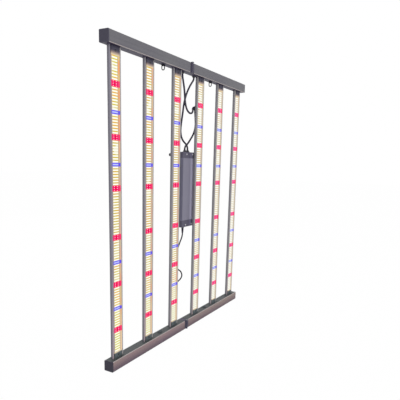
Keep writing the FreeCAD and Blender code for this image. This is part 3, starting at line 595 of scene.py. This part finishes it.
def rail_paint():
    """A grey painted coat with painted reflection, warmer on the low rail, painted shade underneath and on
    the low rail's top and foot, and a painted line of light on the edges by the bars.
    """
    made = Finish("rail_grey", specular=0.2)
    do, spread, mix = made.do, made.spread, made.mix
    _, y, z = made.axes()
    up = made.axes(made.facing)[2]
    grains = spread(made.noise(60.0, (0.03, 9.0, 9.0)), 0.3, 0.7)
    clouds = spread(made.noise(9.0, (0.4, 1.0, 1.0), 2.0), 0.35, 0.65)
    cool = mix(clouds, (0.128, 0.122, 0.148), (0.16, 0.161, 0.17))
    high = mix(grains, cool, (0.182, 0.177, 0.197))
    # painted shade on the top rail's underside
    high = mix(spread(up, -0.5, -0.8), high, (0.032, 0.024, 0.055))
    # painted reflection on the low rail's front: pinkish, turning darker towards its foot
    pink_painted_light = mix(clouds, (0.33, 0.225, 0.24), (0.33, 0.26, 0.235))
    mauve_painted_shade = mix(clouds, (0.16, 0.115, 0.15), (0.185, 0.13, 0.145))
    low = mix(spread(z, 0.034, 0.01), pink_painted_light, mauve_painted_shade)
    # painted shade on the low rail's top face and along its foot
    low = mix(spread(up, 0.5, 0.8), low, (0.075, 0.082, 0.085))
    low = mix(spread(z, 0.0035, 0.002), low, (0.05, 0.042, 0.055))
    paint_and_light = mix(spread(z, 0.3, 0.8), low, high)
    # painted light of the boards on the inner front edges of both rails
    from_middle = do("ABSOLUTE", do("SUBTRACT", z, frame_middle))
    bar_light_edge = made.product(spread(from_middle, *bar_light_band, 1.0, 0.0), spread(y, *bar_light_front, 1.0, 0.0))
    made.colour(mix(bar_light_edge, paint_and_light, (0.5, 0.45, 0.44)))
    made.rough(spread(grains, 0.0, 1.0, 0.4, 0.58))
    made.bump(grains, 0.1, 0.0004)
    return made.material


rail_finish = rail_paint()
print("rail finish:", len(rail_finish.node_tree.nodes), "nodes")


# %% [markdown]
# The end caps are moulded plastic with a fine spark-eroded grain, and the rings are blackened steel. Both are
# lit differently at the top and at the foot, so one helper takes a colour for each level: painted shade makes
# the caps darker at the foot, and painted light makes the rings paler there.
# %% Caps and rings
painted_foot_range = (0.8, 0.3)


def two_level_finish(name, specular, grain, high, low, rough, depth):
    """A grained finish with one pair of colours at the top and one colour at the foot, where the light is
    painted differently.
    """
    made = Finish(name, specular=specular)
    grains = made.noise(grain)
    z = made.axes()[2]
    # painted shade on the caps and painted light on the rings at the foot
    made.colour(made.mix(made.spread(z, *painted_foot_range), made.mix(grains, *high), low))
    return made.grained(grains, rough, 0.15, depth)


cap_finish = two_level_finish("cap_plastic", 0.3, 900.0, ((0.055, 0.052, 0.08), (0.076, 0.071, 0.102)),
                              (0.04, 0.036, 0.055), (0.5, 0.68), 0.0004)
ring_finish = two_level_finish("ring_steel", 0.15, 700.0, ((0.008, 0.008, 0.012), (0.018, 0.017, 0.024)),
                               (0.13, 0.145, 0.16), (0.4, 0.55), 0.0003)
print("caps and rings:", cap_finish.name, ring_finish.name)

# %% [markdown]
# The brackets close the ends of each bar. They are black plastic too, but the lit board shines on them, most
# of all next to it. A lamp for each of them would slow the picture down, so a little glow stands for it. At
# the foot, painted light makes them paler, as it does the rings.
# %% Brackets
top_bracket_light = (1.1036, 1.1175)
low_bracket_light = (0.0575, 0.0624)
half_height = 0.6


def bracket_plastic():
    """Black plastic with painted light: a glow from the board next to it, and a paler colour at the foot."""
    made = Finish("bracket_plastic", specular=0.35)
    do, product, spread = made.do, made.product, made.spread
    grains = made.noise(900.0)
    z = made.axes()[2]
    above = product(spread(z, *top_bracket_light, 1.0, 0.0), do("GREATER_THAN", z, half_height))
    beneath = product(spread(z, *low_bracket_light), do("LESS_THAN", z, half_height))
    near = do("ADD", above, beneath)
    dark = made.mix(grains, (0.032, 0.028, 0.052), (0.055, 0.05, 0.085))
    # painted light: paler at the foot
    made.colour(made.mix(spread(z, *painted_foot_range), dark, (0.1, 0.125, 0.135)))
    made.glow(made.mix(near, (0.3, 0.16, 0.18), (0.95, 0.75, 0.45)), product(near, 0.75))
    return made.grained(grains, (0.45, 0.62), 0.15, 0.0003)


bracket_finish = bracket_plastic()
print("brackets:", bracket_finish.name)

# %% [markdown]
# The fold joint is a block of the same plastic at the middle of each rail. Its edges lie in the shade of the
# two tubes. That shade is too narrow for the soft lamps to draw it, so two darker bands show it.
# %% Fold joints
fold_centre = -0.013


def joint_plastic():
    """Dark plastic with darker edges on both sides of the fold."""
    made = Finish("joint_plastic", specular=0.35)
    grains = made.noise(900.0)
    from_fold = made.do("ABSOLUTE", made.do("SUBTRACT", made.axes()[0], fold_centre))
    middle = made.mix(grains, (0.068, 0.06, 0.1), (0.085, 0.077, 0.12))
    made.colour(made.mix(made.spread(from_fold, 0.007, 0.0095), middle, (0.02, 0.016, 0.04)))
    return made.grained(grains, (0.42, 0.6), 0.15, 0.0003)


joint_finish = joint_plastic()
print("fold joints:", joint_finish.name)


# %% [markdown]
# The other pieces are plain: screws, pins, covers, sleeves. One helper gives each a grain that changes its
# colour, its gloss and its surface together. The driver hangs behind bar 4, which shades a strip of its
# front, so its three finishes are painted paler there: painted light that lifts that shade.
# %% Plain finishes
lifted_strip_by_bar = (0.047, 0.066)
driver_front = 0.0175


def plain_finish(name, dark, light, rough, grain, stretch=(1, 1, 1), metallic=0.0, specular=0.5,
                 painted_lift_by_bar=None):
    """A grained finish between two colours, and if asked for, a paler third one beside the bar, painted light
    over the bar's shade.
    """
    made = Finish(name, metallic, specular)
    grains = made.noise(grain, stretch)
    clouds = made.noise(14.0)
    paint_and_light = made.mix(made.spread(grains, 0.3, 0.7), made.mix(clouds, dark, light), light)
    # painted light: a paler strip where bar 4 shades the driver's front
    if painted_lift_by_bar:
        x, y, _ = made.axes()
        near = made.product(made.spread(x, *lifted_strip_by_bar), made.do("LESS_THAN", y, driver_front))
        paint_and_light = made.mix(near, paint_and_light, painted_lift_by_bar)
    made.colour(paint_and_light)
    return made.grained(grains, rough, 0.15, 0.0004)


screw_finish = plain_finish("black_screw", (0.02, 0.02, 0.022), (0.06, 0.06, 0.065), (0.25, 0.4), 500.0,
                            metallic=0.8)
steel_finish = plain_finish("pin_steel", (0.1, 0.1, 0.12), (0.16, 0.16, 0.18), (0.25, 0.42), 700.0,
                            metallic=0.9)
zinc_finish = plain_finish("zinc_screw", (0.75, 0.74, 0.76), (0.88, 0.87, 0.89), (0.3, 0.45), 700.0)
brass_finish = plain_finish("shaft_brass", (0.55, 0.4, 0.16), (0.7, 0.53, 0.24), (0.25, 0.4), 400.0,
                            metallic=1.0)
driver_finish = plain_finish("driver_case", (0.135, 0.13, 0.195), (0.17, 0.165, 0.24), (0.4, 0.58), 80.0,
                             (9.0, 9.0, 0.03), specular=0.4, painted_lift_by_bar=(0.42, 0.4, 0.54))
cover_finish = plain_finish("driver_cover", (0.06, 0.054, 0.09), (0.08, 0.074, 0.118), (0.45, 0.62), 600.0,
                            painted_lift_by_bar=(0.22, 0.2, 0.31))
plate_finish = plain_finish("driver_plate", (0.19, 0.18, 0.25), (0.225, 0.215, 0.285), (0.35, 0.5), 60.0,
                            (9.0, 9.0, 0.04), specular=0.4, painted_lift_by_bar=(0.55, 0.53, 0.68))
gland_finish = plain_finish("gland_plastic", (0.018, 0.017, 0.024), (0.034, 0.032, 0.042), (0.35, 0.5), 700.0)
cable_finish = plain_finish("cable_sleeve", (0.022, 0.019, 0.036), (0.036, 0.031, 0.055), (0.5, 0.65), 260.0,
                            specular=0.3)
power_cord_finish = plain_finish("power_cord_sleeve", (0.006, 0.005, 0.011), (0.012, 0.01, 0.02), (0.5, 0.65),
                                 260.0, specular=0.2)
tie_finish = plain_finish("tie_fabric", (0.02, 0.02, 0.024), (0.05, 0.05, 0.056), (0.8, 0.95), 1500.0)
potting_finish = plain_finish("potting", (0.14, 0.14, 0.14), (0.2, 0.2, 0.2), (0.6, 0.8), 200.0)
print(len(bpy.data.materials), "finishes so far")


# %% [markdown]
# ## Light on the boards
# A lit bar shows warm white rows with amber between them, red round each screw and some blue rows. It is far
# brighter than the room, so its colours are given as glow. Coloured areas set by hand would drift off the
# rows, so the count that places the lamps gives these bands as well.
# %% Bands of light
blue_middle = 0.57655
lit_middle = 0.583


class Bands:
    """Where a place lies on its bar, and what light is there. All shares run from 0 to 1."""

    def __init__(self, finish):
        do, product, spread = finish.do, finish.product, finish.spread
        self.finish = finish
        self.x, self.y, self.z = finish.axes()
        bar_share = do("SUBTRACT", do("FRACT", do("DIVIDE", self.x, bar_pitch)), 0.5)
        self.out = product(do("ABSOLUTE", bar_share), bar_pitch)
        self.right = do("GREATER_THAN", bar_share, 0.0)
        self.along = spread(self.x, -0.5, 0.1)
        from_middle = do("ABSOLUTE", do("SUBTRACT", self.z, lit_middle))
        self.strong = product(spread(from_middle, 0.12, 0.45), spread(self.x, -0.42, -0.25, 1.0, 0.2))
        self.red, self.row = self.round_screws()
        self.blue, self.core = self.blue_rows()

    def round_screws(self):
        """How red the place is, and how near to a row, from its distance to the nearest screw."""
        do, spread = self.finish.do, self.finish.spread
        groups_down = do("DIVIDE", do("SUBTRACT", top_screw, self.z), group_pitch)
        share = do("ABSOLUTE", do("SUBTRACT", do("FRACT", do("ADD", groups_down, 0.5)), 0.5))
        from_screw = self.finish.product(share, group_pitch)
        rows_on = do("DIVIDE", do("SUBTRACT", from_screw, 2 * close_pitch), row_pitch)
        gap = do("ABSOLUTE", do("SUBTRACT", do("FRACT", rows_on), 0.5))
        return spread(from_screw, 0.0094, 0.0116, 1.0, 0.0), spread(gap, 0.15, 0.27)

    def blue_rows(self):
        """How blue the place is, and how near to the core of a blue row."""
        do, product, spread = self.finish.do, self.finish.product, self.finish.spread
        groups_out = do("DIVIDE", do("ABSOLUTE", do("SUBTRACT", self.z, blue_middle)), group_pitch)
        share = do("ABSOLUTE", do("SUBTRACT", do("FRACT", do("ADD", groups_out, 0.5)), 0.5))
        from_blue = product(share, group_pitch)
        inside = product(do("GREATER_THAN", groups_out, 0.5), do("LESS_THAN", groups_out, 2.5))
        blue = product(spread(from_blue, 0.0056, 0.0072, 1.0, 0.0), inside)
        return blue, spread(from_blue, 0.0016, 0.0034, 1.0, 0.0)


print("a screw every", group_pitch, "m down from", top_screw, "m")


# %% [markdown]
# The lamps' light on the board between them is painted as a glow in patches of amber and lime, paler far off
# and near the floor, and the margins are dimmer. One colour would be simplest, but then every bar would look
# the same. Noise breaks the colour up, and wide slopes along X and Z change it from bar to bar.
# %% Lit board
def board_gaps(made, band, far):
    """The painted light between the rows."""
    mix, spread = made.mix, made.spread
    hue = made.noise(22.0, (1, 1, 1), 1.0)
    amber = mix(band.strong, (0.7, 0.4, 0.0), (0.86, 0.46, 0.04))
    lime = mix(band.strong, (0.62, 0.47, 0.02), (0.7, 0.6, 0.04))
    gaps = mix(spread(hue, 0.42, 0.5), amber, lime)
    pale = made.product(spread(hue, 0.53, 0.6), spread(band.z, 0.62, 0.75, 0.4, 1.0))
    gaps = mix(pale, gaps, (0.86, 0.82, 0.6))
    low = spread(band.z, 0.25, 0.12, 0.0, 0.9)
    gaps = mix(low, gaps, mix(band.along, (0.65, 0.63, 0.02), (0.7, 0.69, 0.39)))
    return mix(far, gaps, (0.82, 0.8, 0.7))


def board_margin(made, band):
    """How far the place belongs to the margin, and the painted light on the margin."""
    margin = made.mix(band.right, (0.46, 0.38, 0.36), (0.6, 0.45, 0.34))
    margin = made.mix(band.red, margin, (0.7, 0.04, 0.26))
    margin = made.mix(band.blue, margin, (0.2, 0.16, 0.7))
    reach = made.do("SUBTRACT", band.out, made.product(band.right, 0.0006))
    outer = made.product(made.spread(reach, 0.0135, 0.0145), made.spread(band.along, 0.2, 1.0, 1.0, 0.1))
    return outer, margin


def board_finish():
    """The lamps' light painted on the board: rows, gaps, red and blue groups, and margins."""
    made = Finish("lit_board", specular=0.0)
    mix = made.mix
    band = Bands(made)
    far = made.spread(band.x, -0.2, 0.5, 0.0, 0.65)
    rows = mix(band.along, (1.0, 1.0, 0.88), (1.0, 1.0, 1.0))
    lit = mix(band.row, board_gaps(made, band, far), rows)
    lit = mix(band.red, lit, mix(far, (1.0, 0.0, 0.1), (1.0, 0.1, 0.42)))
    blue = mix(far, (0.1, 0.07, 0.95), (0.5, 0.6, 0.95))
    lit = mix(band.blue, lit, mix(band.core, blue, (0.55, 0.6, 0.95)))
    outer, margin = board_margin(made, band)
    lit = mix(outer, lit, margin)
    made.colour(mix(0.05, (0, 0, 0), lit))
    made.glow(lit, 0.98)
    made.rough(made.spread(made.noise(300.0), 0.3, 0.7, 0.35, 0.5))
    return made.material


lit_board = board_finish()
print("lit board:", len(lit_board.node_tree.nodes), "nodes")


# %% [markdown]
# The bars are drawn aluminium with lengthwise lines. Their front has a lip on each side of the board, and the
# skirts behind the lips lie in shade. The lamps alone would leave that shade noisy next to a bright board, so
# the surfaces are told apart by their place and painted: shade on the skirts, darkest towards the back, and
# on the ledge beside the board, and light on the lips, paler towards +X, on their right and pinkish low down.
# %% Aluminium of the bars
board_edge = 0.0177
skirt_edge = 0.0293
skirt_depth = 0.0062
front_plane = 0.0012


def bar_metal_light_and_shade(made, band, draw, front):
    """The metal's colour with painted light and shade: body, lips, skirts and the ledge beside the board."""
    do, product, mix, spread = made.do, made.product, made.mix, made.spread
    metal = mix(draw, (0.3, 0.29, 0.31), (0.38, 0.37, 0.39))
    lip = mix(draw, (0.225, 0.21, 0.265), (0.275, 0.26, 0.315))
    # painted light on the lips: paler towards +X, pinkish low down and paler on their right
    lip = mix(band.along, lip, mix(draw, (0.34, 0.325, 0.32), (0.4, 0.385, 0.38)))
    lip = mix(product(spread(band.z, 0.3, 0.06), 0.6), lip, (0.54, 0.42, 0.44))
    lip = mix(product(band.right, 0.75), lip, (0.52, 0.495, 0.48))
    metal = mix(front, metal, lip)
    # painted shade on the skirts, darkest towards the back
    skirt = product(do("GREATER_THAN", band.out, skirt_edge), do("LESS_THAN", band.y, skirt_depth))
    shaded = mix(draw, (0.19, 0.18, 0.22), (0.25, 0.24, 0.28))
    shaded = mix(band.along, shaded, (0.34, 0.325, 0.35))
    shaded = mix(spread(band.y, 0.0036, 0.0048), shaded, (0.075, 0.065, 0.11))
    metal = mix(product(skirt, spread(band.y, -0.0012, -0.0002)), metal, shaded)
    # painted shade on the ledge beside the board
    ledge = product(do("LESS_THAN", band.out, board_edge), front)
    return mix(ledge, metal, (0.2, 0.18, 0.13))


print("from a bar's middle: board to", board_edge, "m, skirts from", skirt_edge, "m")


# %% [markdown]
# The lips also catch the light of their board, most of all the lip that faces the viewer. Each takes the
# colour of the nearest rows. Two thousand real lamps would do this by themselves, but far too slowly, so the
# light on the lips is worked out from the same bands.
# %% Light on the lips
def light_on_lips(made, band, front):
    """How much light the place catches, and its colour."""
    do, product, mix, spread = made.do, made.product, made.mix, made.spread
    inner = do("SUBTRACT", band.out, product(band.right, 0.0017))
    wing = product(do("GREATER_THAN", band.out, board_edge), spread(inner, 0.0212, 0.0224, 1.0, 0.0))
    reach = product(spread(band.z, 1.103, 1.112, 1.0, 0.0), spread(band.z, 0.054, 0.063))
    coloured = do("MAXIMUM", band.red, band.blue)
    faint = spread(band.along, 0.0, 1.0, 0.08, 0.42)
    facing = do("MAXIMUM", band.right, do("ADD", product(coloured, 0.4), faint))
    hue = made.noise(20.0, (1, 1, 1), 1.0)
    orange = mix(band.strong, (0.66, 0.4, 0.29), (0.92, 0.38, 0.12))
    yellow = mix(band.strong, (0.58, 0.47, 0.31), (0.78, 0.54, 0.2))
    warm = mix(spread(hue, 0.42, 0.58), orange, yellow)
    warm = mix(spread(band.z, 0.25, 0.12), warm, (0.8, 0.58, 0.36))
    warm = mix(product(spread(band.along, 0.7, 1.0), 0.7), warm, (0.6, 0.53, 0.38))
    lit = mix(band.blue, mix(band.red, warm, (1.0, 0.0, 0.12)), (0.1, 0.06, 0.85))
    return product(wing, front, reach, facing), lit


def bar_finish():
    """The metal with the light of the boards on it."""
    made = Finish("bar_aluminium", specular=0.4)
    band = Bands(made)
    draw = made.spread(made.noise(60.0, (9.0, 9.0, 0.03)), 0.3, 0.7)
    front = made.do("LESS_THAN", band.y, front_plane)
    metal = bar_metal_light_and_shade(made, band, draw, front)
    share, lit = light_on_lips(made, band, front)
    made.colour(made.mix(share, metal, made.mix(0.1, (0, 0, 0), lit)))
    made.glow(lit, made.product(share, 0.92))
    made.rough(made.spread(draw, 0.0, 1.0, 0.36, 0.52))
    made.bump(draw, 0.1, 0.0003)
    return made.material


bar_metal = bar_finish()
print("bar aluminium:", len(bar_metal.node_tree.nodes), "nodes")


# %% [markdown]
# A lamp shines through its raised window, and the package around it glows more faintly. Both are one mesh,
# and their height tells them apart, which saves a second material. Red light is so strong in the two outer
# columns that its lamps look almost white there.
# %% Lamp finishes
first_outer = 0.004


def lamp_finish(name, package, window, outer_package=None, outer_window=None):
    """Glow of a lamp and its window, which may differ in the two outer columns."""
    made = Finish(name, specular=0.0)
    if outer_package:
        outer = made.do("GREATER_THAN", Bands(made).out, first_outer)
        package = made.mix(outer, package, outer_package)
        window = made.mix(outer, window, outer_window)
    in_window = made.spread(made.axes()[1], -0.0002, 0.0, 1.0, 0.0)
    shade = made.mix(in_window, package, window)
    made.colour(made.mix(0.1, (0, 0, 0), shade))
    made.glow(shade, 0.98)
    made.rough(made.spread(made.noise(800.0), 0.3, 0.7, 0.3, 0.45))
    return made.material


warm_lamp = lamp_finish("warm_lamp", (1.0, 0.98, 0.8), (1.0, 1.0, 0.96))
red_lamp = lamp_finish("red_lamp", (1.0, 0.0, 0.12), (1.0, 0.06, 0.42), (1.0, 0.36, 0.66), (1.0, 1.0, 1.0))
blue_lamp = lamp_finish("blue_lamp", (0.4, 0.45, 0.95), (0.85, 0.9, 1.0))
print("lamp finishes:", warm_lamp.name, red_lamp.name, blue_lamp.name)


# %% [markdown]
# The board screws are black, but among red lamps their heads shine red and only their sockets stay dark. A
# plain black finish would leave dots in the red light, so the front of each head glows too.
# %% Screw in red light
def screw_in_red_light():
    """A black screw head whose front shines red."""
    made = Finish("screw_in_red_light", specular=0.3)
    grains = made.noise(500.0)
    made.colour(made.mix(grains, (0.02, 0.02, 0.022), (0.05, 0.05, 0.055)))
    head = made.spread(made.axes()[1], -0.0003, -0.0007)
    made.glow(made.mix(grains, (0.6, 0.0, 0.06), (0.85, 0.0, 0.1)), made.product(head, 0.9))
    made.rough(made.spread(grains, 0.3, 0.7, 0.25, 0.4))
    return made.material


board_screw = screw_in_red_light()
print("board screw:", board_screw.name)

# %% [markdown]
# ## Lamps in place
# Each half of the light moves by itself, so its lamps are pieces of their own. All kinds placed at once would
# share one finish, so the tree runs once for each kind of lamp on each half.
# %% Lamps and board screws
kinds = [
    ("warm_lamps", 0.0, lamp, warm_lamp, "board_white"),
    ("red_lamps", 1.0, lamp, red_lamp, "board_white"),
    ("blue_lamps", 2.0, lamp, blue_lamp, "board_white"),
    ("board_screws", 3.0, screw, board_screw, "screw_steel")]
for half, side in (("left", -1.0), ("right", 1.0)):
    for name, kind, template, finish, slot in kinds:
        piece = placed(lamps_tree, f"{half}_{name}",
                       {"Side": side, "Kind": kind, "Template": template, "Finish": finish})
        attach(piece, f"{half}_half")
        print(piece.name, len(piece.data.polygons), "faces")
for template in (lamp, screw):
    bpy.data.objects.remove(template)

# %% [markdown]
# ## Dressing the frame
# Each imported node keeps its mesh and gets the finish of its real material. The nodes are named after what
# they are, so one list of words finds them all. Any node that fits none is printed.
# %% Finishes on the nodes
finish_of = [
    ("end_cap", cap_finish), ("joint_leaf", joint_finish), ("joint_pins", steel_finish),
    ("bar_brackets", bracket_finish), ("bracket_screws", screw_finish), ("light_bar", bar_metal),
    ("led_boards", lit_board), ("hanging_ring", ring_finish), ("ring_clips", ring_finish),
    ("driver_case", driver_finish), ("cover_screws", zinc_finish), ("driver_top_cover", cover_finish),
    ("driver_bottom_cover", cover_finish), ("front_plate", plate_finish), ("circuit_block", potting_finish),
    ("straps", steel_finish), ("strap_screws", steel_finish), ("bushing", steel_finish),
    ("dimmer_shaft", brass_finish), ("dimmer_knob", gland_finish), ("gland", gland_finish),
    ("strain_relief", cable_finish), ("grommet", gland_finish), ("cable_hook", gland_finish),
    ("hank_tie", tie_finish), ("mains_plug", cable_finish), ("rail", rail_finish)]
for name, node in nodes_by_name.items():
    for word, finish in finish_of:
        if word in name:
            node.data.materials.clear()
            node.data.materials.append(finish)
            break
    else:
        print("left as it is:", name)
for cable in (right_cable, left_cable):
    cable.data.materials.append(cable_finish)
power_cord.data.materials.append(power_cord_finish)
print(len(nodes_by_name), "nodes and 3 cables")


# %% [markdown]
# ## Room
# The light stands on white, with soft shadows. A plain white floor would turn grey away from the lamps. So
# floor and world are mixed with pure white where the camera sees them, and still light the object plainly.
# %% Floor
floor_drop = 0.0003
floor_white_share = 0.992


def white_to_camera(tree, plain, white, strength):
    """Mixes a plain shader with white light where the camera, a reflection or glass looks at it."""
    rays = tree.nodes.new("ShaderNodeLightPath").outputs
    sums = Sums(tree)
    seen = sums.do("MAXIMUM", rays["Is Camera Ray"], rays["Is Glossy Ray"])
    seen = sums.do("MAXIMUM", seen, rays["Is Transmission Ray"])
    mix = tree.nodes.new("ShaderNodeMixShader")
    for value, socket in zip((sums.product(seen, strength), plain, white), mix.inputs):
        sums.put(value, socket)
    return mix.outputs[0]


def make_floor():
    """A wide plane just under the object."""
    work = bmesh.new()
    bmesh.ops.create_grid(work, x_segments=1, y_segments=1, size=20.0)
    bmesh.ops.translate(work, vec=(0, 0, -floor_drop), verts=work.verts)
    floor = mesh_object("floor", work)
    made = Finish("floor_white", specular=0.0)
    made.colour(made.mix(made.noise(3.0), (0.86, 0.86, 0.86), (0.88, 0.88, 0.88)))
    white = made.tree.nodes.new("ShaderNodeEmission").outputs[0]
    shown = white_to_camera(made.tree, made.shader.outputs[0], white, floor_white_share)
    made.put(shown, made.tree.nodes["Material Output"].inputs[0])
    made.material.cycles.emission_sampling = "NONE"
    floor.data.materials.append(made.material)
    return floor


print("floor:", [round(size, 1) for size in make_floor().dimensions], "m")


# %% [markdown]
# The world is the rest of the room, an even, dim light from everywhere. An image of a room would give
# livelier reflections, but this object stands on plain white.
# %% World
room_level = 0.42
world = bpy.data.worlds.new("room")
bpy.context.scene.world = world
world.use_nodes = True
world_tree = world.node_tree
plain = world_tree.nodes["Background"]
white = world_tree.nodes.new("ShaderNodeBackground")
for background, strength in ((plain, room_level), (white, 1.0)):
    background.inputs["Color"].default_value = (1.0, 1.0, 1.0, 1.0)
    background.inputs["Strength"].default_value = strength
shown = white_to_camera(world_tree, plain.outputs[0], white.outputs[0], 1.0)
world_tree.links.new(shown, world_tree.nodes["World Output"].inputs[0])
print("room light:", room_level)


# %% [markdown]
# Large square lamps stand for the soft boxes of a studio, because small ones throw hard shadows. Two light
# the front, one the back and one the top.
# %% Soft lamps
def soft_lamp(name, place, target, size, power):
    """A square area lamp that points at its target."""
    data = bpy.data.lights.new(name, "AREA")
    data.shape = "SQUARE"
    data.size = size
    data.energy = power
    made = in_scene(name, data)
    made.location = place
    made.rotation_euler = (Vector(target) - Vector(place)).to_track_quat("-Z", "Y").to_euler()
    print(name, power, "W")


soft_lamp("front_lamp", (0.9, -3.6, 2.4), (0.0, 0.0, 0.55), 2.6, 46.0)
soft_lamp("side_lamp", (-2.9, -1.9, 1.4), (0.0, 0.0, 0.6), 2.2, 19.0)
soft_lamp("back_lamp", (1.2, 3.6, 2.0), (0.0, 0.0, 0.55), 2.4, 40.0)
soft_lamp("top_lamp", (-0.3, 0.6, 3.6), (0.0, 0.0, 0.6), 2.2, 24.0)
view = bpy.context.scene.view_settings
view.view_transform = "Standard"
